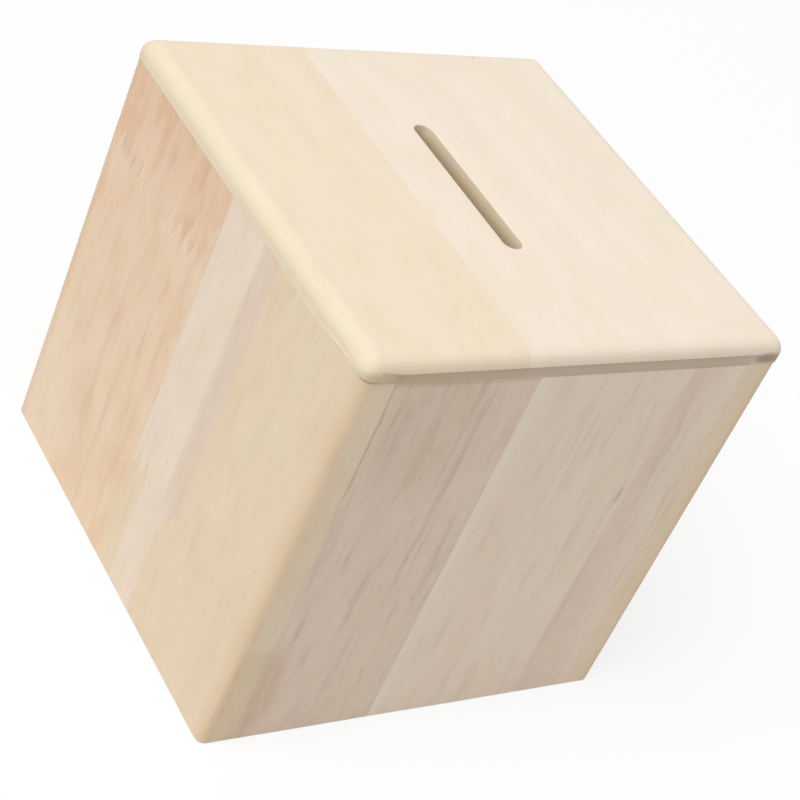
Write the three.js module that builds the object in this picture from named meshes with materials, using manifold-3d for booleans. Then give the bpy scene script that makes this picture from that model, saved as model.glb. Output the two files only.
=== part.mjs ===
// Cube money box of pale rubberwood: edge-glued panels, a let-in base and a rubber stopper.
// Millimetres, +Z up, the origin in the middle of the outline at table height.
// The front faces -Y, and the coin slot in the top runs from front to back.

import * as THREE from 'three';
import { mergeVertices } from 'three/addons/utils/BufferGeometryUtils.js';
import Module from 'manifold-3d';

// Outside of the glued-up box
const BOX_WIDTH = 96;
const BOX_DEPTH = 96;
const BOX_HEIGHT = 95;
const EDGE_ROUND = 3.4; // radius run along the rim of the top
const CORNER_ROUND = 2; // radius of the upright corners, eased less than the rim

// Boards
const SIDE_WALL = 7.2; // left and right walls, which run the full depth
const END_WALL = 7.2; // front and back walls, which stand between the side walls
const TOP_THICKNESS = 4.7;
const BASE_THICKNESS = 4;
const BASE_RECESS = 2; // underside of the base above the lower edges of the walls

// Glue lines between the staves of a panel, from the middle of the box
const TOP_GLUE_LINES = { left: -13.7, right: 8.4 };
const FRONT_GLUE_LINES = { left: -9.4, right: 7.2 };
const BACK_GLUE_LINE = 7.5;
const LEFT_GLUE_LINE = 3;
const RIGHT_GLUE_LINE = -4.5;

// Finger joints that lengthen the two staves of the left wall
const FINGER_LENGTH = 5.5;
const FINGER_PITCH = 3.5;
const FINGER_TIP_GAP = 0.3;
const REAR_FINGER_ROOT = 71; // height of the finger roots above the table
const FRONT_FINGER_ROOT = 25;

// Coin slot, milled through the top a little off its middle
const SLOT_LENGTH = 38.8;
const SLOT_WIDTH = 4.2;
const SLOT_MIDDLE = { x: 0.6, y: 0.7 };

// Rubber stopper and the outlet that it closes
const OUTLET_DIAMETER = 35;
const STOPPER_CLEARANCE = 0.3; // all round in the outlet
const STOPPER_SEAT_GAP = 0.2; // between the flange and the base
const STOPPER_RISE = 2; // how far the plug stands up inside the box
const STOPPER_TAPER = 0.8; // how much the plug's radius shrinks at its upper end
const FLANGE_THICKNESS = 1.4;
const FLANGE_OVERLAP = 2.8; // how far the flange reaches past the outlet
const FLANGE_BEVEL = 0.5; // lets a fingernail in behind the flange

// Smoothness of the round faces
const CORNER_STEPS = 6;
const ROUND_STEPS = 48;

// Heights and inner faces that follow from the sizes above
const WALL_TOP = BOX_HEIGHT - TOP_THICKNESS;
const INNER_X = BOX_WIDTH / 2 - SIDE_WALL;
const INNER_Y = BOX_DEPTH / 2 - END_WALL;
const BASE_TOP = BASE_RECESS + BASE_THICKNESS;
const OVERSIZE = 2 * EDGE_ROUND; // boards start this much too long and are trimmed to the outline
const FAR_X = BOX_WIDTH / 2 + OVERSIZE;
const FAR_Y = BOX_DEPTH / 2 + OVERSIZE;

const wasm = await Module();
wasm.setup();

function toSolid(geometry) {
  geometry.deleteAttribute('normal');
  geometry.deleteAttribute('uv');
  const merged = mergeVertices(geometry);
  return new wasm.Manifold(new wasm.Mesh({
    numProp: 3,
    vertProperties: new Float32Array(merged.attributes.position.array),
    triVerts: new Uint32Array(merged.index.array),
  }));
}

function toGeometry(solid) {
  const { vertProperties, triVerts } = solid.getMesh();
  const geometry = new THREE.BufferGeometry();
  geometry.setAttribute('position', new THREE.BufferAttribute(vertProperties, 3));
  geometry.setIndex(new THREE.BufferAttribute(triVerts, 1));
  geometry.computeVertexNormals();
  return geometry;
}

// A square-edged board between three pairs of limits
function board([left, right], [front, back], [bottom, top]) {
  const geometry = new THREE.BoxGeometry(right - left, back - front, top - bottom);
  geometry.translate((left + right) / 2, (front + back) / 2, (bottom + top) / 2);
  return toSolid(geometry);
}

function roundedRectangle(halfX, halfY, radius) {
  const shape = new THREE.Shape();
  shape.absarc(halfX - radius, halfY - radius, radius, 0, Math.PI / 2);
  shape.absarc(radius - halfX, halfY - radius, radius, Math.PI / 2, Math.PI);
  shape.absarc(radius - halfX, radius - halfY, radius, Math.PI, 1.5 * Math.PI);
  shape.absarc(halfX - radius, radius - halfY, radius, 1.5 * Math.PI, 2 * Math.PI);
  shape.closePath();
  return shape;
}

// The finished outline: the rim of the top and the upright corners rounded over, lower edges left square.
// It reaches below the table, where every board ends first.
function makeOutline() {
  const flatX = BOX_WIDTH / 2 - EDGE_ROUND;
  const flatY = BOX_DEPTH / 2 - EDGE_ROUND;
  const flatTop = new THREE.Shape([
    new THREE.Vector2(flatX, flatY),
    new THREE.Vector2(-flatX, flatY),
    new THREE.Vector2(-flatX, -flatY),
    new THREE.Vector2(flatX, -flatY),
  ]);
  const rimmed = new THREE.ExtrudeGeometry(flatTop, {
    depth: BOX_HEIGHT,
    bevelSegments: CORNER_STEPS,
    bevelSize: EDGE_ROUND,
    bevelThickness: EDGE_ROUND,
  });
  rimmed.translate(0, 0, -EDGE_ROUND);
  const upright = new THREE.ExtrudeGeometry(roundedRectangle(BOX_WIDTH / 2, BOX_DEPTH / 2, CORNER_ROUND), {
    depth: BOX_HEIGHT + 2 * OVERSIZE,
    curveSegments: CORNER_STEPS,
    bevelEnabled: false,
  });
  upright.translate(0, 0, -OVERSIZE);
  return toSolid(rimmed).intersect(toSolid(upright));
}

// A stadium-shaped cutter that passes right through the top
function makeSlotCutter() {
  const radius = SLOT_WIDTH / 2;
  const centre = SLOT_LENGTH / 2 - radius;
  const shape = new THREE.Shape();
  shape.absarc(0, centre, radius, 0, Math.PI);
  shape.absarc(0, -centre, radius, Math.PI, 2 * Math.PI);
  shape.closePath();
  const depth = TOP_THICKNESS + 2 * OVERSIZE;
  const geometry = new THREE.ExtrudeGeometry(shape, { depth, curveSegments: CORNER_STEPS, bevelEnabled: false });
  geometry.translate(SLOT_MIDDLE.x, SLOT_MIDDLE.y, WALL_TOP - OVERSIZE);
  return toSolid(geometry);
}

// Points of a finger joint across a stave, from front to back
function fingerLine(front, back, root) {
  const fingers = Math.max(1, Math.round((back - front) / FINGER_PITCH));
  const points = [];
  for (let step = 0; step <= 2 * fingers; step += 1) {
    const along = front + ((back - front) * step) / (2 * fingers);
    const height = step % 2 === 0 ? root : root + FINGER_LENGTH;
    points.push(new THREE.Vector2(along, height));
  }
  return points;
}

// A board of the left wall from its outline in Y and Z
function leftWallBoard(points) {
  const geometry = new THREE.ExtrudeGeometry(new THREE.Shape(points), {
    depth: SIDE_WALL + OVERSIZE,
    bevelEnabled: false,
  });
  const upright = new THREE.Matrix4().makeBasis(
    new THREE.Vector3(0, 1, 0),
    new THREE.Vector3(0, 0, 1),
    new THREE.Vector3(1, 0, 0),
  );
  geometry.applyMatrix4(upright);
  geometry.translate(-FAR_X, 0, 0);
  return toSolid(geometry);
}

// The lower and upper lengths of one stave of the left wall
function fingerJointedStave(front, back, root) {
  const joint = fingerLine(front, back, root);
  const lower = [new THREE.Vector2(front, 0), new THREE.Vector2(back, 0), ...joint.toReversed()];
  const raised = joint.map((point) => new THREE.Vector2(point.x, point.y + FINGER_TIP_GAP));
  const upper = [...raised, new THREE.Vector2(back, WALL_TOP), new THREE.Vector2(front, WALL_TOP)];
  return { lower: leftWallBoard(lower), upper: leftWallBoard(upper) };
}

function makeBase() {
  const panel = board([-INNER_X, INNER_X], [-INNER_Y, INNER_Y], [BASE_RECESS, BASE_TOP]);
  const radius = OUTLET_DIAMETER / 2;
  const cutter = new THREE.CylinderGeometry(radius, radius, BASE_TOP + 2 * OVERSIZE, ROUND_STEPS);
  cutter.rotateX(Math.PI / 2);
  return panel.subtract(toSolid(cutter));
}

function makeStopper() {
  const plug = OUTLET_DIAMETER / 2 - STOPPER_CLEARANCE;
  const flange = OUTLET_DIAMETER / 2 + FLANGE_OVERLAP;
  const seat = BASE_RECESS - STOPPER_SEAT_GAP;
  const foot = seat - FLANGE_THICKNESS;
  const profile = [
    new THREE.Vector2(0, foot),
    new THREE.Vector2(flange - FLANGE_BEVEL, foot),
    new THREE.Vector2(flange, foot + FLANGE_BEVEL),
    new THREE.Vector2(flange - FLANGE_BEVEL, seat),
    new THREE.Vector2(plug, seat),
    new THREE.Vector2(plug, BASE_TOP),
    new THREE.Vector2(plug - STOPPER_TAPER, BASE_TOP + STOPPER_RISE),
    new THREE.Vector2(0, BASE_TOP + STOPPER_RISE),
  ];
  const geometry = new THREE.LatheGeometry(profile, ROUND_STEPS);
  geometry.rotateX(Math.PI / 2);
  return geometry;
}

function wood(color) {
  return new THREE.MeshStandardMaterial({ color, roughness: 0.62, metalness: 0 });
}

const creamWood = wood('#f1e3cd');
const tanWood = wood('#e2c9aa');
const paleWood = wood('#e6d6c4');
const pinkWood = wood('#d8c2b0');
const plywood = wood('#dcc4a0');
const rubber = new THREE.MeshStandardMaterial({ color: '#2b2a29', roughness: 0.7, metalness: 0 });

const moneyBox = new THREE.Group();
const outline = makeOutline();

function addPiece(group, name, geometry, material) {
  const mesh = new THREE.Mesh(geometry, material);
  mesh.name = name;
  group.add(mesh);
}

// Trims a board to the finished outline of the box
function addBoard(group, name, solid, material) {
  addPiece(group, name, toGeometry(outline.intersect(solid)), material);
}

// Top panel: three staves with the grain from front to back, and the slot through them
const topPanel = new THREE.Group();
const slotCutter = makeSlotCutter();
const topStaves = [
  ['top_stave_left', [-FAR_X, TOP_GLUE_LINES.left], creamWood],
  ['top_stave_middle', [TOP_GLUE_LINES.left, TOP_GLUE_LINES.right], creamWood],
  ['top_stave_right', [TOP_GLUE_LINES.right, FAR_X], creamWood],
];
for (const [name, across, material] of topStaves) {
  const stave = board(across, [-FAR_Y, FAR_Y], [WALL_TOP, BOX_HEIGHT + OVERSIZE]);
  addBoard(topPanel, name, stave.subtract(slotCutter), material);
}

// Left wall: two upright staves, each of two lengths finger-jointed together
const leftWall = new THREE.Group();
const frontStave = fingerJointedStave(-FAR_Y, LEFT_GLUE_LINE, FRONT_FINGER_ROOT);
const rearStave = fingerJointedStave(LEFT_GLUE_LINE, FAR_Y, REAR_FINGER_ROOT);
addBoard(leftWall, 'left_wall_front_lower', frontStave.lower, paleWood);
addBoard(leftWall, 'left_wall_front_upper', frontStave.upper, paleWood);
addBoard(leftWall, 'left_wall_rear_lower', rearStave.lower, tanWood);
addBoard(leftWall, 'left_wall_rear_upper', rearStave.upper, tanWood);

// Right wall: two upright staves
const rightWall = new THREE.Group();
const rightStaves = [
  ['right_wall_stave_front', [-FAR_Y, RIGHT_GLUE_LINE], paleWood],
  ['right_wall_stave_rear', [RIGHT_GLUE_LINE, FAR_Y], tanWood],
];
for (const [name, along, material] of rightStaves) {
  addBoard(rightWall, name, board([INNER_X, FAR_X], along, [0, WALL_TOP]), material);
}

// Front and back walls: upright staves that fill the width between the side walls
const frontWall = new THREE.Group();
const frontStaves = [
  ['front_wall_stave_left', [-INNER_X, FRONT_GLUE_LINES.left], pinkWood],
  ['front_wall_stave_middle', [FRONT_GLUE_LINES.left, FRONT_GLUE_LINES.right], paleWood],
  ['front_wall_stave_right', [FRONT_GLUE_LINES.right, INNER_X], pinkWood],
];
for (const [name, across, material] of frontStaves) {
  addBoard(frontWall, name, board(across, [-FAR_Y, -INNER_Y], [0, WALL_TOP]), material);
}
const backWall = new THREE.Group();
const backStaves = [
  ['back_wall_stave_left', [-INNER_X, BACK_GLUE_LINE], paleWood],
  ['back_wall_stave_right', [BACK_GLUE_LINE, INNER_X], pinkWood],
];
for (const [name, across, material] of backStaves) {
  addBoard(backWall, name, board(across, [INNER_Y, FAR_Y], [0, WALL_TOP]), material);
}

moneyBox.add(topPanel, leftWall, rightWall, frontWall, backWall);
addPiece(moneyBox, 'base_panel', toGeometry(makeBase()), plywood);
addPiece(moneyBox, 'stopper', makeStopper(), rubber);

export default moneyBox;
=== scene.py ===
# Looks of the rubberwood money box: sanded boards, wood and rubber finishes, floor, lamp and camera.
# Metres, +Z up, the front towards -Y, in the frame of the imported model.
import math

import bpy
import numpy as np
from mathutils import Matrix, Vector, noise


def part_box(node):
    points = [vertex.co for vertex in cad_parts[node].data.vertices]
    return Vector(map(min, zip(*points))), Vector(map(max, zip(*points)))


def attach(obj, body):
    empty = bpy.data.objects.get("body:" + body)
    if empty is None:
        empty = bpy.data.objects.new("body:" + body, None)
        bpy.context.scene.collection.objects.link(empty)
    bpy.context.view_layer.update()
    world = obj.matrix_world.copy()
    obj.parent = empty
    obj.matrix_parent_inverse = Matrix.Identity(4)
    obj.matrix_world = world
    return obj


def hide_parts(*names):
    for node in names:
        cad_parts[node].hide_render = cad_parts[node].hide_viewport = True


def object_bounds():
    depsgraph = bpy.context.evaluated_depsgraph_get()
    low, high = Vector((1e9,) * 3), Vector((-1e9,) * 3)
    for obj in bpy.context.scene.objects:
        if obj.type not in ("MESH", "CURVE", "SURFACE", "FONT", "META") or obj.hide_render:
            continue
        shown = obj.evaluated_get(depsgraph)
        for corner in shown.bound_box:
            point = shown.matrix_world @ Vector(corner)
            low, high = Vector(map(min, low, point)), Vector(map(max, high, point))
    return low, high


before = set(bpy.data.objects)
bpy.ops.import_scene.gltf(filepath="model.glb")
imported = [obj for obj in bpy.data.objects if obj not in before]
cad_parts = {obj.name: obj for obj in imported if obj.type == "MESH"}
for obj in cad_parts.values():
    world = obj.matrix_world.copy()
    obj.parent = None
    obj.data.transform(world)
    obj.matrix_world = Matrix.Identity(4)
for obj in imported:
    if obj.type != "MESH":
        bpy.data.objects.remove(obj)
cad_low, cad_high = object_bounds()
top_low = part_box("top_stave_left")[0]

MM = 0.001

# Sanding of the boards
ROUND = 3.4 * MM  # rim of the top
CORNER_POWER = 3.8  # makes the upright corners squarer than the rim; 2 would make them as round
NEAR_CORNER_POWERS = {0: 3.8, 30 * MM: 2.7, 90 * MM: 2.4}  # the near corner is rounder, at some heights
ROUND_CUTS = 10  # mesh lines from the middle of a rounded edge to its flat
FLAT_STEP = 4 * MM  # mesh on flat faces
LEAST_STEP = 0.001 * MM  # mesh lines closer than this to the end of a board are left out
ARRIS = 0.04 * MM  # eased edges where the top meets the walls
BUTT_ARRIS = 0.05 * MM  # eased edges where walls meet
FOOT_ARRIS = 0.15 * MM  # eased lower edges of the walls
ARRIS_CUTS = 3
SIDE_SETBACK = 0.06 * MM  # side walls sanded a little inside the rim of the top
END_SETBACK = 0.29 * MM  # front and back walls sanded further in
WAVE = 0.1 * MM  # unevenness left by the sander
WAVE_LENGTH = 21 * MM
TOP_WAVE = 0.06 * MM  # the same on the edge of the top
SHARP_ANGLE = math.radians(38)
NEAR_ZERO = 1e-12  # keeps divisions off zero
SAME_PLACE = 1e-7  # points closer than this to a plane lie on it

# Edge of the top: a crease under the rounded rim, and a square part set in below it between the side walls
CREASE_DEPTH = 2.95 * MM  # below the top
CREASE_HEIGHT = 0.15 * MM
UNDERCUT = 0.27 * MM
LEDGE = 0.28 * MM  # the left wall stands out a little from the top near the front
LEDGE_SPAN = (10 * MM, 34 * MM, 38 * MM, 45 * MM)  # from the middle: it starts, is full, fades and ends
LEDGE_LIFT = 0.9 * MM  # and the joint rises there
LIFT_SPAN = (30 * MM, 41 * MM, 41 * MM, 54 * MM)
JOINT_DROP = 0.45 * MM  # the joint lies lower away from the left wall
DROP_SPAN = (2 * MM, 8 * MM)  # from the left side: the drop starts and is full
UNDERCUT_SPAN = (0.4, 1.15)  # from the sides, in wall thicknesses: the undercut starts and is full

# Finger joints of the left wall
FINGERS = {"front": 17, "rear": 15}
FINGER_LENGTH = 5.5 * MM
GLUE_GAP = 0.02 * MM  # left between the fingers
STOCK_TRIM = 6.8 * MM  # the staves were this much too long on the outside when the fingers were cut
FINGER_MARGIN = 1 * MM  # kept free of other mesh lines beyond the fingers

# Coin slot and outlet
SLOT_LENGTH = 38.8 * MM
SLOT_WIDTH = 4.2 * MM
SLOT_MIDDLE = (0.6 * MM, 0.7 * MM)
SLOT_ARRIS = 0.3 * MM
SLOT_SIDES = 16  # mesh lines round each end
CUTTER_REACH = 2 * MM  # how far the slot's cutter stands out of the top
LIP_CUTS = 5  # mesh lines round an eased lip
OUTLET_RADIUS = 17.5 * MM
OUTLET_ARRIS = 0.4 * MM
TURNED_SIDES = 96

# Rubber stopper
STOPPER_FIT = 0.35 * MM  # all round in the outlet
FLANGE_THICKNESS = 1.4 * MM
RIB_HEIGHT = 0.18 * MM
RIB_PLACES = (1.4 * MM, 3.0 * MM)  # above the flange
STOPPER_WALL = 2.2 * MM  # round the hollow in its upper end
STOPPER_FLOOR = 1.2 * MM  # between the flange and the hollow

# Camera, fitted to the outline of the box in the photograph
CAMERA_AIM = Vector((0.96, -7.29, 47.5)) * MM
CAMERA_DISTANCE = 422.81 * MM
CAMERA_AZIMUTH = math.radians(-44.283)
CAMERA_ELEVATION = math.radians(34.495)
CAMERA_ROLL = math.radians(25.217)
CAMERA_LENS = 95.284
CAMERA_SENSOR = 36

# Studio light
SKY_LEVEL = 0.45
LAMP_DIRECTION = Vector((-0.316, -0.067, 0.55)).normalized()
LAMP_DISTANCE = 4
LAMP_SIZE = 3
LAMP_POWER = 114
FLOOR_SIZE = 1.4  # wide enough that its edges lie outside the picture
FLOOR_GAP = 0.05 * MM  # keeps the floor off the feet of the walls
FLOOR_BOUNCE = 0.7  # how much light the floor sends back to the object
FLOOR_GLOW = 0.75  # how much of the floor's white is its own

# Kinds of rubberwood in the staves
WOOD_TONES = {
    "cream": "#f4e7d5",
    "straw": "#f3e2ca",
    "yellow": "#eee0c4",
    "light": "#f2e0cc",
    "pale": "#eedabe",
    "tan": "#f1d8ba",
    "russet": "#efd3b6",
    "pink": "#ead5c2",
}

# Tones laid over the wood
MOTTLE_TONE = "#fbf4f0"
CLOUD_TONE = "#faf9f0"
BLUSH_TONE = "#f0cfbd"
PORE_TONE = "#a98a70"
STREAK_TONE = "#b0917a"
# painted shade under the overhang of the top, in the joint and a little way down the front wall
JOINT_SHADE_TONE = "#b7a08c"
GLUE_TONE = "#9a7c62"
CORNER_TONE = "#f3ddc6"
# painted shade on the set-in band under the rim of the top
UNDER_RIM_SHADE_TONE = "#e0dad4"
END_GRAIN_TONE = "#dccbbd"
# painted light inside the coin slot, lighter and warmer than the wood
SLOT_LIGHT_TONE = "#fdecd0"
# painted shade towards the lower end of the coin slot
SLOT_SHADE_TONE = "#cbbfab"
WALL_CORNER_TINT = 0.42  # strength of the corner tone on the walls
TOP_CORNER_TINT = 0.2  # and on the top

# Where tones and grain lie, in millimetres
SEED_STEPS = (61, 23, 37)  # how far each seed moves the figure across, in depth and along
JOINT_SHADE_HEIGHT = 90  # middle of the painted shade in the joint under the top
CORNER_SPAN = (4.5, 0.8)  # inside the square corner: the tint starts and is full
UNDER_RIM_SPAN = (39, 45)  # from the middle: the painted shade under the rim fades and ends
SLOT_FADE = 0.2  # soft edge of the painted light and shade in the slot
SLOT_MARGIN = 0.5  # the painted shade in the slot deepens between this far from its upper and lower ends

X, Y, Z = range(3)
LOW, HIGH = False, True


# Sanded boards

def smooth(values, start, end):
    """Rises smoothly from 0 at start to 1 at end."""
    share = np.clip((values - start) / (end - start), 0, 1)
    return share * share * (3 - 2 * share)


def cutting_lines(low, high, close_lines, bare):
    """Places of a board's mesh lines: at the close lines, and about one flat step apart where not bare."""
    count = max(1, round((high - low) / FLAT_STEP))
    spread = [low + (high - low) * step / count for step in range(1, count)]
    inside = {round(line, 8) for line in close_lines if low + LEAST_STEP < line < high - LEAST_STEP}
    close = sorted(inside | {low, high})
    free = [line for line in spread if min(abs(line - other) for other in close) > FLAT_STEP / 3]
    return sorted(close + [line for line in free if not bare[0] < line < bare[1]])


def lines_near(edge, inward, width, count):
    """Places within a width of an edge, closer together towards the edge of a rounding."""
    return [edge + inward * width * (1 - math.tan(math.pi / 4 * k / count)) for k in range(count + 1)]


def lattice_block(lines):
    """Points and outward faces of a closed block with mesh lines at the given places on its three axes."""
    points = []
    index = {}

    def corner(spot):
        if spot not in index:
            index[spot] = len(points)
            points.append([lines[axis][spot[axis]] for axis in range(3)])
        return index[spot]

    faces = []
    for axis in range(3):
        along, across = (axis + 1) % 3, (axis + 2) % 3
        for side in (0, len(lines[axis]) - 1):
            for u in range(len(lines[along]) - 1):
                for v in range(len(lines[across]) - 1):
                    ring = []
                    for du, dv in ((0, 0), (1, 0), (1, 1), (0, 1)):
                        spot = [side] * 3
                        spot[along] = u + du
                        spot[across] = v + dv
                        ring.append(corner(tuple(spot)))
                    faces.append(ring if side else ring[::-1])
    return np.array(points), faces


def ease_edge(points, limits, shown, joint, radius):
    """Rounds the edge between a face that shows and one that meets another board."""
    inside = np.ones(len(points), bool)
    strips = []
    for axis, side in (shown, joint):
        strip = radius - np.abs(points[:, axis] - limits[side][axis])
        inside &= strip > 0
        strips.append(strip)
    reach = np.hypot(*strips)
    block = np.maximum(*strips)
    for (axis, side), strip in zip((shown, joint), strips):
        inward = -1 if side else 1
        rounded = limits[side][axis] + inward * (radius - strip * block / np.maximum(reach, NEAR_ZERO))
        points[inside, axis] = rounded[inside]


def outline_core(points):
    """Nearest points of the core that the rounded outline of the box wraps."""
    inner_low = np.array([cad_low.x + ROUND, cad_low.y + ROUND, -1])
    inner_high = np.array([cad_high.x - ROUND, cad_high.y - ROUND, cad_high.z - ROUND])
    return np.clip(points, inner_low, inner_high)


def round_over(points):
    """Runs the rounding along the rim and, squarer, down the upright corners."""
    core = outline_core(points)
    out = np.abs(points - core)
    near = (points[:, X] < 0) & (points[:, Y] < 0)
    near_power = np.interp(points[:, Z], list(NEAR_CORNER_POWERS), list(NEAR_CORNER_POWERS.values()))
    power = np.where(near, near_power, CORNER_POWER)
    plan = (out[:, X] ** power + out[:, Y] ** power) ** (1 / power)
    reach = np.hypot(plan, out[:, Z])
    share = out.max(axis=1) / np.maximum(reach, NEAR_ZERO)
    return core + (points - core) * share[:, None]


def swell(points, span):
    """1 on part of the stretch towards the front, with soft ends."""
    start, full, fade, end = span
    return smooth(-points[:, Y], start, full) * (1 - smooth(-points[:, Y], fade, end))


def lift_joint(points):
    """Bends the joint between the top and the walls: up at the ledge, down away from the left wall."""
    start, full = DROP_SPAN
    off_left = smooth(points[:, X], cad_low.x + start, cad_low.x + full)
    lift = LEDGE_LIFT * swell(points, LIFT_SPAN) * (1 - off_left) - JOINT_DROP * off_left
    off_joint = (points[:, Z] - top_low.z) / (cad_high.z - top_low.z)
    points[:, Z] += lift * np.clip(1 - np.abs(off_joint), 0, 1)


def sander_waves(points):
    """Slow unevenness from 0 to 1 that runs over all the boards alike."""
    return np.array([0.5 + 0.5 * noise.noise(Vector(point) / WAVE_LENGTH) for point in points])


def wall_setback(points, facing):
    """How far a sanded wall lies inside its square outline."""
    ends = facing[:, Y] ** 2
    return SIDE_SETBACK + (END_SETBACK - SIDE_SETBACK) * ends + WAVE * sander_waves(points)


def top_setback(points, facing):
    """How far the finished edge of the top lies inside its square outline."""
    wall = cad_high.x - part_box("right_wall_stave_front")[0].x
    start, full = UNDERCUT_SPAN
    between_walls = smooth(cad_high.x - np.abs(points[:, X]), start * wall, full * wall)
    crease = cad_high.z - CREASE_DEPTH
    below = 1 - smooth(points[:, Z], crease - CREASE_HEIGHT, crease)
    ends = np.abs(facing[:, Y]) * between_walls * below * UNDERCUT
    left = np.maximum(0, -facing[:, X]) * swell(points, LEDGE_SPAN) * LEDGE
    return TOP_WAVE * sander_waves(points) + ends + left


def sand(points, setback):
    """Takes the sanded depth off the outside of a board."""
    out = points - outline_core(points)
    reach = np.linalg.norm(out, axis=1)
    facing = out / np.maximum(reach, NEAR_ZERO)[:, None]
    share = np.clip(reach / ROUND, 0, 1)
    return points - facing * (setback(points, facing) * share)[:, None]


def shade_smooth(mesh):
    mesh.polygons.foreach_set("use_smooth", [True] * len(mesh.polygons))
    mesh.set_sharp_from_angle(angle=SHARP_ANGLE)


def add_piece(name, points, faces):
    mesh = bpy.data.meshes.new(name)
    mesh.from_pydata([tuple(point) for point in points], [], faces)
    mesh.update()
    shade_smooth(mesh)
    piece = bpy.data.objects.new(name, mesh)
    bpy.context.scene.collection.objects.link(piece)
    return piece


def settle(piece, node, body, finish):
    """Puts a finished piece in the place of its CAD node."""
    piece.data.materials.clear()
    piece.data.materials.append(finish)
    modifier = piece.modifiers.new("even_shading", "WEIGHTED_NORMAL")
    modifier.keep_sharp = True
    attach(piece, body)
    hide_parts(node)


def board_lines(limits, shown, joints, extra, bare):
    """Mesh lines of a board on its three axes, close together at rounded and eased edges."""
    close = [list(extra.get(axis, ())) for axis in range(3)]
    for axis, side in shown:
        inward = -1 if side else 1
        if axis != Z or side == HIGH:
            close[axis] += lines_near(limits[side][axis], inward, ROUND, ROUND_CUTS)
        close[axis] += lines_near(limits[side][axis], inward, ARRIS, ARRIS_CUTS)
    for (axis, side), radius in joints.items():
        inward = -1 if side else 1
        close[axis] += lines_near(limits[side][axis], inward, radius, ARRIS_CUTS)
    no_stretch = (0, 0)
    return [cutting_lines(limits[LOW][axis], limits[HIGH][axis], close[axis], bare.get(axis, no_stretch))
            for axis in range(3)]


def make_board(node, shown, joints, setback, extra=None, bare=None, fingers=None):
    """A sanded board in a node's place. shown are its outside faces, joints the radii of its eased edges."""
    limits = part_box(node)
    lines = board_lines(limits, shown, joints, extra or {}, bare or {})
    points, faces = lattice_block(lines)
    for face in shown:
        for joint, radius in joints.items():
            if joint[0] != face[0]:
                ease_edge(points, limits, face, joint, radius)
    if fingers:
        fingers(points)
    lift_joint(points)
    points = sand(round_over(points), setback)
    return add_piece("sanded_" + node, points, faces)


# Finger joints

def finger_layout(stave):
    """Glue line beside a left-wall stave, and half the pitch of its fingers, from there outwards."""
    glue_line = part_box("left_wall_front_lower")[1].y
    outside = cad_low.y - STOCK_TRIM if stave == "front" else cad_high.y + STOCK_TRIM
    return glue_line, (outside - glue_line) / FINGERS[stave] / 2


def finger_root(stave):
    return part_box(f"left_wall_{stave}_lower")[1].z - FINGER_LENGTH


def finger_lines(stave):
    """Places from front to back where the fingers change direction."""
    glue_line, half_pitch = finger_layout(stave)
    return [glue_line + half_pitch * step for step in range(2 * FINGERS[stave] + 1)]


def finger_heights(stave, along):
    places = finger_lines(stave)
    heights = [finger_root(stave) + FINGER_LENGTH * (step % 2) for step in range(len(places))]
    order = np.argsort(places)
    return np.interp(along, np.array(places)[order], np.array(heights)[order])


def cut_fingers(stave, limit, gap):
    """A function that cuts the fingers into the end of a block's points."""
    def cut(points):
        on_end = np.abs(points[:, Z] - limit) < SAME_PLACE
        points[on_end, Z] = finger_heights(stave, points[on_end, Y]) + gap
    return cut


# Cut-outs and turned pieces

def loft(rings, closed):
    """Points and faces of a skin over equal rings. A closed skin joins its last ring to its first."""
    count = len(rings[0])
    points = [point for ring in rings for point in ring]
    faces = []
    last = len(rings) if closed else len(rings) - 1
    for ring in range(last):
        start = ring * count
        after = ((ring + 1) % len(rings)) * count
        for step in range(count):
            turn = (step + 1) % count
            faces.append([start + step, start + turn, after + turn, after + step])
    if not closed:
        faces.append(list(range(count))[::-1])
        faces.append(list(range(len(points) - count, len(points))))
    return points, faces


def slot_ring(grow, height):
    """The outline of the slot, grown by a little, at a height."""
    radius = SLOT_WIDTH / 2 + grow
    straight = (SLOT_LENGTH - SLOT_WIDTH) / 2
    ring = []
    for end, start in ((1, 0), (-1, math.pi)):
        for step in range(SLOT_SIDES + 1):
            angle = start + math.pi * step / SLOT_SIDES
            x = SLOT_MIDDLE[X] + radius * math.cos(angle)
            y = SLOT_MIDDLE[Y] + end * straight + radius * math.sin(angle)
            ring.append((x, y, height))
    return ring


def lip(radius, height, outward):
    """Growth and height of the rings of an eased lip, from the bore to the face that it opens on."""
    turns = [math.pi / 2 * step / LIP_CUTS for step in range(LIP_CUTS + 1)]
    return [(radius * (1 - math.cos(t)), height - outward * radius * (1 - math.sin(t))) for t in turns]


def cut_slot(piece, bottom, top):
    """Mills the slot with eased lips through a top stave."""
    upper = lip(SLOT_ARRIS, top, 1)
    lower = lip(SLOT_ARRIS, bottom, -1)[::-1]
    steps = [(SLOT_ARRIS, bottom - CUTTER_REACH), *lower, *upper, (SLOT_ARRIS, top + CUTTER_REACH)]
    cutter = add_piece("slot_cutter", *loft([slot_ring(*step) for step in steps], closed=False))
    modifier = piece.modifiers.new("slot", "BOOLEAN")
    modifier.operation = "DIFFERENCE"
    modifier.solver = "EXACT"
    modifier.object = cutter
    milled = bpy.data.meshes.new_from_object(piece.evaluated_get(bpy.context.evaluated_depsgraph_get()))
    piece.modifiers.clear()
    piece.data = milled
    shade_smooth(milled)
    bpy.data.objects.remove(cutter)


def turned_ring(radius, height):
    turns = [2 * math.pi * step / TURNED_SIDES for step in range(TURNED_SIDES)]
    return [(radius * math.cos(turn), radius * math.sin(turn), height) for turn in turns]


def square_ring(half, height):
    """A square with as many points as a turned ring, one on each of its spokes."""
    ring = []
    for x, y, _ in turned_ring(1, height):
        reach = half / max(abs(x), abs(y))
        ring.append((x * reach, y * reach, height))
    return ring


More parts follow.
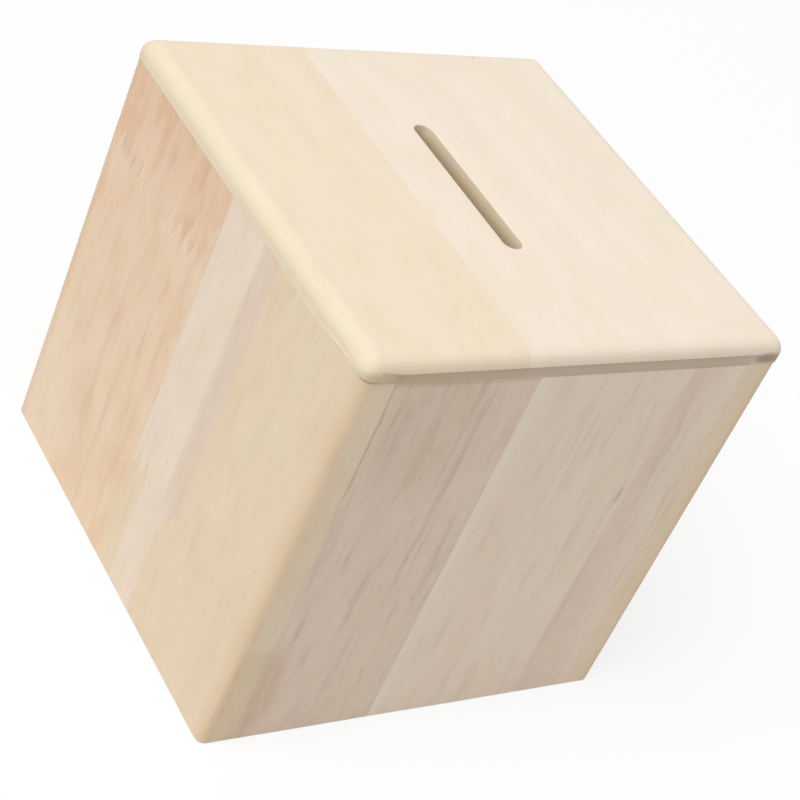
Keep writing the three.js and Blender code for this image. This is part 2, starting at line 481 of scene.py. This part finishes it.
def make_base():
    low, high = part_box("base_panel")
    lower = lip(OUTLET_ARRIS, low.z, -1)[::-1]
    upper = lip(OUTLET_ARRIS, high.z, 1)
    bore = [turned_ring(OUTLET_RADIUS + grow, height) for grow, height in [*lower, *upper]]
    rings = [square_ring(high.x, high.z), *bore[::-1], square_ring(high.x, low.z)]
    return add_piece("sanded_base_panel", *loft(rings, closed=True))


def make_stopper():
    """A moulded stopper: dished foot, bevelled flange, two sealing ribs and a hollow upper end."""
    low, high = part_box("stopper")
    flange = high.x
    plug = OUTLET_RADIUS - STOPPER_FIT
    crest = plug + RIB_HEIGHT
    inner = plug - STOPPER_WALL
    seat = low.z + FLANGE_THICKNESS
    hollow = seat + STOPPER_FLOOR
    profile = [
        (0.4 * MM, low.z + 0.5 * MM),
        (7.5 * MM, low.z + 0.5 * MM),
        (8.3 * MM, low.z + 0.12 * MM),
        (9.1 * MM, low.z + 0.5 * MM),
        (15.0 * MM, low.z + 0.45 * MM),
        (16.2 * MM, low.z),
        (flange - 0.9 * MM, low.z),
        (flange - 0.35 * MM, low.z + 0.12 * MM),
        (flange, low.z + 0.55 * MM),
        (flange - 0.12 * MM, low.z + 0.95 * MM),
        (flange - 0.55 * MM, seat),
        (plug + 0.2 * MM, seat),
        (plug, seat + 0.2 * MM),
    ]
    for middle in [seat + place for place in RIB_PLACES]:
        profile += [(plug, middle - 0.5 * MM), (crest, middle - 0.15 * MM)]
        profile += [(crest, middle + 0.15 * MM), (plug, middle + 0.5 * MM)]
    profile += [
        (plug - 0.1 * MM, high.z - 1.8 * MM),
        (plug - 0.8 * MM, high.z - 0.3 * MM),
        (plug - 1.1 * MM, high.z),
        (inner, high.z),
        (inner - 0.3 * MM, high.z - 0.3 * MM),
        (inner - 0.6 * MM, hollow + 0.8 * MM),
        (inner - 1.4 * MM, hollow),
        (0.4 * MM, hollow),
    ]
    return add_piece("moulded_stopper", *loft([turned_ring(*step) for step in profile], closed=False))


# Finishes

class Field:
    """A value, colour or vector that changes over a surface. Arithmetic on values adds Math nodes."""

    def __init__(self, finish, socket):
        self.finish = finish
        self.socket = socket

    def math(self, operation, first, second):
        return self.finish.add("ShaderNodeMath", {"operation": operation}, {0: first, 1: second})

    def __add__(self, other):
        return self.math("ADD", self, other)

    def __radd__(self, other):
        return self.math("ADD", other, self)

    def __sub__(self, other):
        return self.math("SUBTRACT", self, other)

    def __rsub__(self, other):
        return self.math("SUBTRACT", other, self)

    def __mul__(self, other):
        return self.math("MULTIPLY", self, other)

    def __rmul__(self, other):
        return self.math("MULTIPLY", other, self)

    def __truediv__(self, other):
        return self.math("DIVIDE", self, other)

    def __rtruediv__(self, other):
        return self.math("DIVIDE", other, self)

    def __abs__(self):
        return self.math("ABSOLUTE", self, 0)


class Finish:
    """The nodes of one material or of the world."""

    def __init__(self, owner):
        owner.use_nodes = True
        self.tree = owner.node_tree
        self.tree.nodes.clear()

    def add(self, kind, settings=None, inputs=None, output=0):
        node = self.tree.nodes.new(kind)
        for name, value in (settings or {}).items():
            if name == "stops":
                set_stops(node.color_ramp, value)
            else:
                setattr(node, name, value)
        for socket, value in (inputs or {}).items():
            if isinstance(value, Field):
                self.tree.links.new(value.socket, node.inputs[socket])
            else:
                node.inputs[socket].default_value = value
        return Field(self, node.outputs[output]) if node.outputs else None

    def place(self):
        """The point on the object, in millimetres."""
        metres = self.add("ShaderNodeTexCoord", output="Object")
        return self.scaled(metres, (1 / MM, 1 / MM, 1 / MM))

    def scaled(self, vector, factors):
        return self.add("ShaderNodeVectorMath", {"operation": "MULTIPLY"}, {0: vector, 1: factors})

    def split(self, vector):
        node = self.add("ShaderNodeSeparateXYZ", inputs={0: vector}).socket.node
        return [Field(self, socket) for socket in node.outputs]

    def joined(self, *values):
        return self.add("ShaderNodeCombineXYZ", inputs=dict(enumerate(values)))

    def noise(self, vector, scale, detail=2, roughness=0.5):
        inputs = {"Vector": vector, "Scale": scale, "Detail": detail, "Roughness": roughness}
        return self.add("ShaderNodeTexNoise", inputs=inputs)

    def rise(self, value, start, end):
        """0 below start, 1 above end, smooth between."""
        inputs = {"Value": value, "From Min": start, "From Max": end}
        return self.add("ShaderNodeMapRange", {"interpolation_type": "SMOOTHSTEP"}, inputs)

    def mix(self, mask, under, over, how="MIX"):
        settings = {"data_type": "RGBA", "blend_type": how}
        return self.add("ShaderNodeMix", settings, {0: mask, 6: under, 7: over}, 2)

    def shaded(self, colour, level):
        """A colour made lighter or darker by a value around 1."""
        return self.mix(1.0, colour, self.joined(level, level, level), "MULTIPLY")


def set_stops(ramp, stops):
    ramp.interpolation = "EASE"
    while len(ramp.elements) < len(stops):
        ramp.elements.new(0.5)
    for element, (position, colour) in zip(ramp.elements, stops):
        element.position = position
        element.color = colour


def tone(code):
    """A colour as nodes want it, from its usual six-digit code."""
    parts = [int(code[start:start + 2], 16) / 255 for start in (1, 3, 5)]
    return (*[p / 12.92 if p <= 0.04045 else ((p + 0.055) / 1.055) ** 2.4 for p in parts], 1)


def new_material(name):
    material = bpy.data.materials.new(name)
    return material, Finish(material)


def surface(finish, inputs):
    shader = finish.add("ShaderNodeBsdfPrincipled", inputs=inputs)
    finish.add("ShaderNodeOutputMaterial", inputs={"Surface": shader})


def pores(finish, figure, width, length, size):
    """Dark vessel lines along the grain: 1 in the middle of a line, 0 outside it."""
    stretched = finish.scaled(figure, (1 / width, 1 / width, 1 / length))
    distance = finish.add("ShaderNodeTexVoronoi", inputs={"Vector": stretched, "Scale": 1})
    return 1 - finish.rise(distance, 0, size)


def spot(finish, axes, stain):
    """A soft oval that fills a stain's spans: 1 in its middle, 0 outside it."""
    spread = 0
    for axis, (start, end) in stain["spans"].items():
        share = (axes[axis] - (start + end) / 2) * (2 / (end - start))
        spread = share * share + spread
    return 1 - finish.rise(spread, 0.1, 1)


def finger_glue(finish, axes, stave):
    """The zigzag glue line of a finger joint, 1 on the line."""
    glue_line, half_pitch = finger_layout(stave)
    turns = abs(axes[Y] - glue_line / MM) * abs(MM / half_pitch)
    zigzag = finish.add("ShaderNodeMath", {"operation": "PINGPONG"}, {0: turns, 1: 1.0})
    drop = abs(axes[Z] - finger_root(stave) / MM - zigzag * (FINGER_LENGTH / MM))
    return 1 - finish.rise(drop, 0.2, 1)


def paint_slot_light_and_shade(finish, axes, colour):
    """Paints light into the coin slot as a lighter, warmer tone, and painted shade that darkens it towards
    the lower end.
    """
    bottom, top = top_low.z / MM, cad_high.z / MM
    inside = 1
    for axis, length in ((X, SLOT_WIDTH), (Y, SLOT_LENGTH)):
        reach = (length / 2 + SLOT_ARRIS) / MM
        away = abs(axes[axis] - SLOT_MIDDLE[axis] / MM)
        inside = inside * (1 - finish.rise(away, reach, reach + SLOT_FADE))
    inside = inside * (1 - finish.rise(axes[Z], top - SLOT_ARRIS / MM, top))
    depth = inside * (1 - finish.rise(axes[Z], bottom + SLOT_MARGIN, top - SLOT_MARGIN))
    colour = finish.mix(inside, colour, tone(SLOT_LIGHT_TONE))
    return finish.mix(depth, colour, tone(SLOT_SHADE_TONE), "MULTIPLY")


def painted_rim_shade(finish, axes):
    """1 on the square part of the front and back edges of the top, under the crease, where painted shade
    darkens the wood.
    """
    crease = (cad_high.z - CREASE_DEPTH) / MM
    between_walls = 1 - finish.rise(abs(axes[X]), *UNDER_RIM_SPAN)
    return between_walls * (1 - finish.rise(axes[Z], crease - CREASE_HEIGHT / MM, crease))


def rubberwood(name, grain, side_axis, tones, seed, streaks=0.4, flecks=0.2, blush=0, stains=(),
               fingers=None):
    """Sanded rubberwood. tones names the kind of wood at some places across the stave, in millimetres.

    blush is the strength of redder patches.
    """
    material, finish = new_material(name)
    axes = finish.split(finish.place())
    side = axes[side_axis]
    across_step, depth_step, along_step = SEED_STEPS
    across = side + across_step * seed
    depth = axes[3 - grain - side_axis] + depth_step * seed
    along = axes[grain] + along_step * seed
    straight = finish.joined(across, depth, along)
    waver = finish.noise(finish.scaled(straight, (0.2, 0.2, 0.1)), 1, 2) - 0.5
    figure = finish.joined(across + 1.8 * waver, depth, along)

    slow = finish.noise(finish.scaled(figure, (0.1, 0.1, 0.006)), 1, 2)
    mottle = finish.noise(finish.scaled(figure, (0.12, 0.12, 0.03)), 1, 2)
    clouds = finish.noise(finish.scaled(figure, (0.18, 0.18, 0.09)), 1, 3)
    bands = finish.noise(finish.scaled(figure, (0.5, 0.5, 0.05)), 1, 4, 0.6)
    fibres = finish.noise(finish.scaled(figure, (2.2, 2.2, 0.1)), 1, 2, 0.6)
    long_pores = pores(finish, figure, 1.8, 10, 0.25) * finish.rise(slow, 0.4, 0.6)
    fine_pores = pores(finish, figure, 0.8, 5, 0.3)

    first, last = min(tones), max(tones)
    kinds = sorted(tones.items())
    stops = [((place - first) / (last - first), tone(WOOD_TONES[kind])) for place, kind in kinds]
    warped = (side + (slow - 0.5) * 3 - first) / (last - first)
    colour = finish.add("ShaderNodeValToRGB", {"stops": stops}, {0: warped})
    colour = finish.mix(finish.rise(mottle, 0.35, 0.65) * 0.25, colour, tone(MOTTLE_TONE), "MULTIPLY")
    colour = finish.mix(finish.rise(clouds, 0.4, 0.62) * 0.35, colour, tone(CLOUD_TONE), "MULTIPLY")
    if blush:
        patches = finish.noise(finish.scaled(figure, (0.2, 0.2, 0.08)), 1, 3)
        colour = finish.mix(finish.rise(patches, 0.45, 0.65) * blush, colour, tone(BLUSH_TONE), "MULTIPLY")
    dark_streaks = finish.rise(bands, 0.48, 0.75) * (0.2 * streaks)
    colour = finish.shaded(colour, 1.02 - dark_streaks + 0.05 * (fibres - 0.5) + 0.04 * (slow - 0.5))
    vessels = long_pores * flecks + fine_pores * (0.4 * flecks)
    colour = finish.mix(vessels, colour, tone(PORE_TONE), "MULTIPLY")

    axes[side_axis] = side + bands + 2 * waver - 0.5
    for stain in stains:
        mask = spot(finish, axes, stain) * stain["strength"]
        colour = finish.mix(mask, colour, tone(stain["tone"]), stain.get("how", "MULTIPLY"))
    if fingers:
        glue = finger_glue(finish, axes, fingers) * finish.rise(mottle, 0.4, 0.6)
        colour = finish.mix(glue * 0.03, colour, tone(GLUE_TONE), "MULTIPLY")

    normal = finish.split(finish.add("ShaderNodeNewGeometry", output="Normal"))[grain]
    outline = (cad_high.x + cad_high.y) / MM
    start, full = CORNER_SPAN
    corner = finish.rise(abs(axes[X]) + abs(axes[Y]), outline - start, outline - full)
    corner_tint = WALL_CORNER_TINT if grain == Z else TOP_CORNER_TINT
    colour = finish.mix(corner * corner_tint, colour, tone(CORNER_TONE), "MULTIPLY")
    if grain == Z:
        end_grain = finish.rise(0 - normal, 0.9, 1)
    else:
        end_grain = finish.rise(abs(normal), 0.6, 0.95)
        # painted shade on the band under the crease of the top
        colour = finish.mix(painted_rim_shade(finish, axes), colour, tone(UNDER_RIM_SHADE_TONE), "MULTIPLY")
        # painted light and painted shade inside the coin slot
        colour = paint_slot_light_and_shade(finish, axes, colour)
    colour = finish.mix(end_grain * 0.25, colour, tone(END_GRAIN_TONE), "MULTIPLY")

    height = fibres * 0.35 + bands * 0.25 - long_pores * 0.8 - fine_pores * 0.4
    bump = finish.add("ShaderNodeBump", inputs={"Strength": 0.3, "Distance": 0.06 * MM, "Height": height})
    surface(finish, {
        "Base Color": colour,
        "Roughness": 0.6 + 0.16 * (fibres - 0.5) + 0.1 * long_pores,
        "Specular IOR Level": 0.3,
        "Normal": bump,
    })
    return material


def plywood():
    """Rotary-cut plywood: wavy face grain, with darker inner plies in the wall of the outlet."""
    material, finish = new_material("pale_plywood")
    place = finish.place()
    height = finish.split(place)[Z]
    wavy = finish.noise(finish.scaled(place, (0.02, 0.16, 0.3)), 1, 3, 0.55)
    fibres = finish.noise(finish.scaled(place, (0.12, 2.8, 2.8)), 1, 3, 0.6)
    dashes = pores(finish, finish.joined(*finish.split(place)[::-1]), 1.1, 12, 0.14)
    stops = [(0.3, tone("#d9bd93")), (0.5, tone("#e3cba6")), (0.7, tone("#ead6b6"))]
    colour = finish.add("ShaderNodeValToRGB", {"stops": stops}, {0: wavy})
    low, high = (corner.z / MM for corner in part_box("base_panel"))
    ply = (high - low) / 3
    inner = finish.rise(height, low + ply - 0.1, low + ply + 0.1) * (
        1 - finish.rise(height, high - ply - 0.1, high - ply + 0.1))
    colour = finish.mix(inner, colour, finish.mix(1.0, colour, tone("#c9ad8c"), "MULTIPLY"))
    colour = finish.shaded(colour, 0.92 + 0.14 * fibres)
    colour = finish.mix(dashes * 0.5, colour, tone("#a98560"))
    relief = {"Strength": 0.5, "Distance": 0.1 * MM, "Height": fibres - dashes}
    bump = finish.add("ShaderNodeBump", inputs=relief)
    surface(finish, {"Base Color": colour, "Roughness": 0.66 + 0.12 * fibres, "Normal": bump})
    return material


def rubber():
    """Black moulded rubber with a fine dull skin and a little dust."""
    material, finish = new_material("black_rubber")
    place = finish.place()
    skin = finish.noise(place, 5, 3, 0.6)
    dust = finish.rise(finish.noise(place, 0.35, 4, 0.6), 0.5, 0.75)
    colour = finish.mix(dust * 0.35, tone("#2b2a29"), tone("#4a4642"))
    bump = finish.add("ShaderNodeBump", inputs={"Strength": 0.35, "Distance": 0.05 * MM, "Height": skin})
    surface(finish, {"Base Color": colour, "Roughness": 0.56 + 0.16 * skin + 0.12 * dust, "Normal": bump})
    return material


# Boards in their places

FRONT, BACK = (Y, LOW), (Y, HIGH)
LEFT, RIGHT = (X, LOW), (X, HIGH)
UPPER, LOWER = (Z, HIGH), (Z, LOW)


def streak(axis, place, low, high, strength=0.09, width=3):
    """A soft dark streak up a wall."""
    spans = {axis: (place - width / 2, place + width / 2), Z: (low, high)}
    return dict(spans=spans, tone=STREAK_TONE, strength=strength)


def shadow_line(strength, height):
    """Painted shade in the joint under the top, which reaches some way down the wall."""
    return dict(spans={Z: (JOINT_SHADE_HEIGHT - height, JOINT_SHADE_HEIGHT + height)}, tone=JOINT_SHADE_TONE, strength=strength)


FINGER_DASHES = [streak(Y, place, 71, 76, 0.18, 1) for place in (41.9, 39.4, 36.9, 33.6)]
TOP_FINISHES = {
    "top_stave_left": dict(
        slot="cream_wood", seed=1, streaks=0.08, flecks=0.05,
        tones={-47: "yellow", -43: "straw", -14: "straw"},
        stains=[dict(spans={X: (-50, -38), Y: (-52, -44), Z: (89.4, 93)}, tone="#cdb9a4", strength=0.35)]),
    "top_stave_middle": dict(
        slot="cream_wood", seed=2, streaks=0.05, flecks=0.04,
        tones={-14: "cream", 8: "cream"}),
    "top_stave_right": dict(
        slot="cream_wood", seed=3, streaks=0.06, flecks=0.04,
        tones={8: "cream", 48: "cream"},
        stains=[dict(spans={X: (39.5, 49.5), Y: (-50, -43), Z: (89.3, 93)}, tone="#a3948a", strength=0.8),
                dict(spans={X: (28.2, 29.0), Y: (44.5, 45.6)}, tone="#a58a70", strength=0.5)]),
}
LEFT_FINISHES = {
    "left_wall_front_lower": dict(
        slot="pale_wood", seed=4, streaks=0.3, fingers="front",
        tones={3: "pale", -2: "pale", -4: "light", -11: "light", -14: "pale", -48: "pale"},
        stains=[dict(spans={X: (-48, -38), Y: (-52, -44)}, tone="#efeae0", strength=0.45)]),
    "left_wall_front_upper": dict(
        slot="pale_wood", seed=5, streaks=0.25, flecks=0.15, fingers="front",
        tones={3: "light", -9: "light", -11: "pink", -16: "pink", -18: "pale", -48: "pale"},
        # painted shade in the joint under the top at the near corner
        stains=[dict(spans={X: (-50, -40), Y: (-50, -45), Z: (89.9, 91.6)}, tone="#a89078", strength=0.5)]),
    "left_wall_rear_lower": dict(
        slot="tan_wood", seed=6, streaks=0.45, flecks=0.18, blush=0.2, fingers="rear",
        tones={3: "tan", 48: "tan"},
        stains=[streak(Y, 33.2, 49, 63), streak(Y, 24.7, 0, 66), streak(Y, 17.2, -2, 53),
                streak(Y, 8.2, 12, 39), streak(Y, 7.5, 60, 76), *FINGER_DASHES,
                dict(spans={Y: (20, 80), Z: (-35, 42)}, tone="#f4e2cd", strength=0.5, how="MIX")]),
    "left_wall_rear_upper": dict(
        slot="tan_wood", seed=7, streaks=0.5, flecks=0.18, blush=0.35, fingers="rear",
        tones={3: "russet", 48: "russet"},
        stains=[streak(Y, 33, 82, 91), streak(Y, 25.2, 78, 91), streak(Y, 8, 78, 90), *FINGER_DASHES,
                dict(spans={Y: (-10, 70), Z: (75, 108)}, tone="#f7e4d5", strength=0.22)]),
}
RIGHT_FINISHES = {
    "right_wall_stave_front": dict(
        slot="pale_wood", seed=8, tones={-48: "pale", -5: "light"}),
    "right_wall_stave_rear": dict(
        slot="tan_wood", seed=9, tones={-5: "tan", 48: "russet"}),
}
FRONT_FINISHES = {
    "front_wall_stave_left": dict(
        slot="pink_wood", seed=10, streaks=0.8, flecks=0.2,
        tones={-41: "pink", -10: "pink"},
        stains=[dict(spans={X: (-44, -14), Z: (54, 106)}, tone="#efe9e2", strength=0.4),
                dict(spans={X: (-46, -33), Z: (-4, 29)}, tone="#e6d3b4", strength=0.4),
                streak(X, -19.3, 24, 91, 0.05), streak(X, -28, 62, 79), streak(X, -37.5, 67, 86),
                streak(X, -40.8, 52, 98, 0.3, 0.9), shadow_line(0.25, 1.4)]),
    "front_wall_stave_middle": dict(
        slot="pale_wood", seed=11, streaks=0.4, flecks=0.12,
        tones={-10: "cream", -4: "light", 7: "light"},
        stains=[shadow_line(0.55, 0.8)]),
    "front_wall_stave_right": dict(
        slot="pink_wood", seed=12, streaks=0.6, flecks=0.17,
        tones={7: "light", 26: "light", 28: "pink", 41: "light"},
        stains=[dict(spans={X: (25, 26.5), Z: (54, 60)}, tone="#8f735c", strength=0.25),
                dict(spans={X: (6.4, 8), Z: (4, 78)}, tone="#fff2df", strength=0.25, how="MIX"),
                streak(X, 27.5, 13, 47), streak(X, 40.8, 43, 75), shadow_line(0.55, 0.8)]),
}
BACK_FINISHES = {
    "back_wall_stave_left": dict(
        slot="pale_wood", seed=13, tones={-41: "light", 7: "light"}),
    "back_wall_stave_right": dict(
        slot="pink_wood", seed=14, tones={7: "pink", 41: "pink"}),
}


def finish_board(piece, node, grain, side_axis, slot, **look):
    settle(piece, node, "box", rubberwood(node + "_wood", grain, side_axis, **look))


def make_top():
    crease = cad_high.z - CREASE_DEPTH
    edge_lines = [crease, crease - CREASE_HEIGHT / 2, crease - CREASE_HEIGHT, crease - 3 * CREASE_HEIGHT]
    outside = {"top_stave_left": [LEFT], "top_stave_middle": [], "top_stave_right": [RIGHT]}
    for node, look in TOP_FINISHES.items():
        shown = [UPPER, FRONT, BACK, *outside[node]]
        piece = make_board(node, shown, {LOWER: ARRIS}, top_setback, {Z: edge_lines})
        if node == "top_stave_middle":
            cut_slot(piece, top_low.z, cad_high.z)
        finish_board(piece, node, Y, X, **look)


def make_left_wall():
    for node, look in LEFT_FINISHES.items():
        _, _, stave, length = node.split("_")
        low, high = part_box(node)
        end_face = FRONT if stave == "front" else BACK
        joints = {RIGHT: BUTT_ARRIS}
        if length == "lower":
            fingers = cut_fingers(stave, high.z, 0)
            joints[LOWER] = FOOT_ARRIS
            clear = finger_root(stave) - FINGER_MARGIN
            bare = (clear, high.z)
        else:
            fingers = cut_fingers(stave, low.z, GLUE_GAP)
            joints[UPPER] = ARRIS
            clear = finger_root(stave) + FINGER_LENGTH + FINGER_MARGIN
            bare = (low.z, clear)
        extra = {Y: finger_lines(stave), Z: [clear]}
        piece = make_board(node, [LEFT, end_face], joints, wall_setback, extra, {Z: bare}, fingers)
        finish_board(piece, node, Z, Y, **look)


def make_right_wall():
    for node, look in RIGHT_FINISHES.items():
        end_face = FRONT if node.endswith("front") else BACK
        joints = {LEFT: BUTT_ARRIS, UPPER: ARRIS, LOWER: FOOT_ARRIS}
        piece = make_board(node, [RIGHT, end_face], joints, wall_setback)
        finish_board(piece, node, Z, Y, **look)


def make_end_wall(looks, face, first, last):
    """The front or back wall, whose outer staves butt against the side walls."""
    for node, look in looks.items():
        joints = {UPPER: ARRIS, LOWER: FOOT_ARRIS}
        if node == first:
            joints[LEFT] = BUTT_ARRIS
        if node == last:
            joints[RIGHT] = BUTT_ARRIS
        piece = make_board(node, [face], joints, wall_setback)
        finish_board(piece, node, Z, X, **look)


make_top()
make_left_wall()
make_right_wall()
make_end_wall(FRONT_FINISHES, FRONT, "front_wall_stave_left", "front_wall_stave_right")
make_end_wall(BACK_FINISHES, BACK, "back_wall_stave_left", "back_wall_stave_right")
settle(make_base(), "base_panel", "box", plywood())
settle(make_stopper(), "stopper", "stopper", rubber())


# Floor, light and camera

def seen_rays(finish):
    """1 for rays that show the background itself or its reflection, 0 for rays that carry light."""
    node = finish.add("ShaderNodeLightPath").socket.node
    seen = [Field(finish, node.outputs[name]) for name in
            ("Is Camera Ray", "Is Glossy Ray", "Is Transmission Ray")]
    return finish.add("ShaderNodeMath", {"operation": "MINIMUM"}, {0: seen[0] + seen[1] + seen[2], 1: 1.0})


def make_floor():
    half = FLOOR_SIZE / 2
    corners = [(-half, -half), (half, -half), (half, half), (-half, half)]
    floor = add_piece("floor", [(x, y, cad_low.z - FLOOR_GAP) for x, y in corners], [[0, 1, 2, 3]])
    material, finish = new_material("white_floor")
    grey = (FLOOR_BOUNCE, FLOOR_BOUNCE, FLOOR_BOUNCE, 1)
    white = (1, 1, 1, 1)
    lit = finish.add("ShaderNodeBsdfDiffuse", inputs={"Color": white})
    glow = finish.add("ShaderNodeEmission", inputs={"Color": white, "Strength": 1})
    shown = finish.add("ShaderNodeMixShader", inputs={0: FLOOR_GLOW, 1: lit, 2: glow})
    bounced = finish.add("ShaderNodeBsdfDiffuse", inputs={"Color": grey})
    both = finish.add("ShaderNodeMixShader", inputs={0: seen_rays(finish), 1: bounced, 2: shown})
    finish.add("ShaderNodeOutputMaterial", inputs={"Surface": both})
    floor.data.materials.append(material)


def make_light():
    world = bpy.data.worlds.new("studio")
    bpy.context.scene.world = world
    finish = Finish(world)
    sky, white = [finish.add("ShaderNodeBackground", inputs={"Color": (1, 1, 1, 1), "Strength": strength})
                  for strength in (SKY_LEVEL, 1)]
    both = finish.add("ShaderNodeMixShader", inputs={0: seen_rays(finish), 1: sky, 2: white})
    finish.add("ShaderNodeOutputWorld", inputs={"Surface": both})
    lamp = bpy.data.lights.new("soft_lamp", "AREA")
    lamp.size = LAMP_SIZE
    lamp.energy = LAMP_POWER
    holder = bpy.data.objects.new("soft_lamp", lamp)
    holder.location = Vector((0, 0, cad_high.z / 2)) + LAMP_DIRECTION * LAMP_DISTANCE
    holder.rotation_euler = (-LAMP_DIRECTION).to_track_quat("-Z", "Y").to_euler()
    bpy.context.scene.collection.objects.link(holder)


def make_camera():
    level = math.cos(CAMERA_ELEVATION)
    away = Vector((
        math.sin(CAMERA_AZIMUTH) * level,
        -math.cos(CAMERA_AZIMUTH) * level,
        math.sin(CAMERA_ELEVATION),
    ))
    lens = bpy.data.cameras.new("camera")
    lens.lens = CAMERA_LENS
    lens.sensor_width = CAMERA_SENSOR
    camera = bpy.data.objects.new("camera", lens)
    turn = (-away).to_track_quat("-Z", "Y").to_matrix().to_4x4()
    place = Matrix.Translation(CAMERA_AIM + away * CAMERA_DISTANCE)
    camera.matrix_world = place @ turn @ Matrix.Rotation(CAMERA_ROLL, 4, "Z")
    bpy.context.scene.collection.objects.link(camera)
    bpy.context.scene.camera = camera


make_floor()
make_light()
make_camera()
bpy.context.scene.view_settings.view_transform = "Standard"
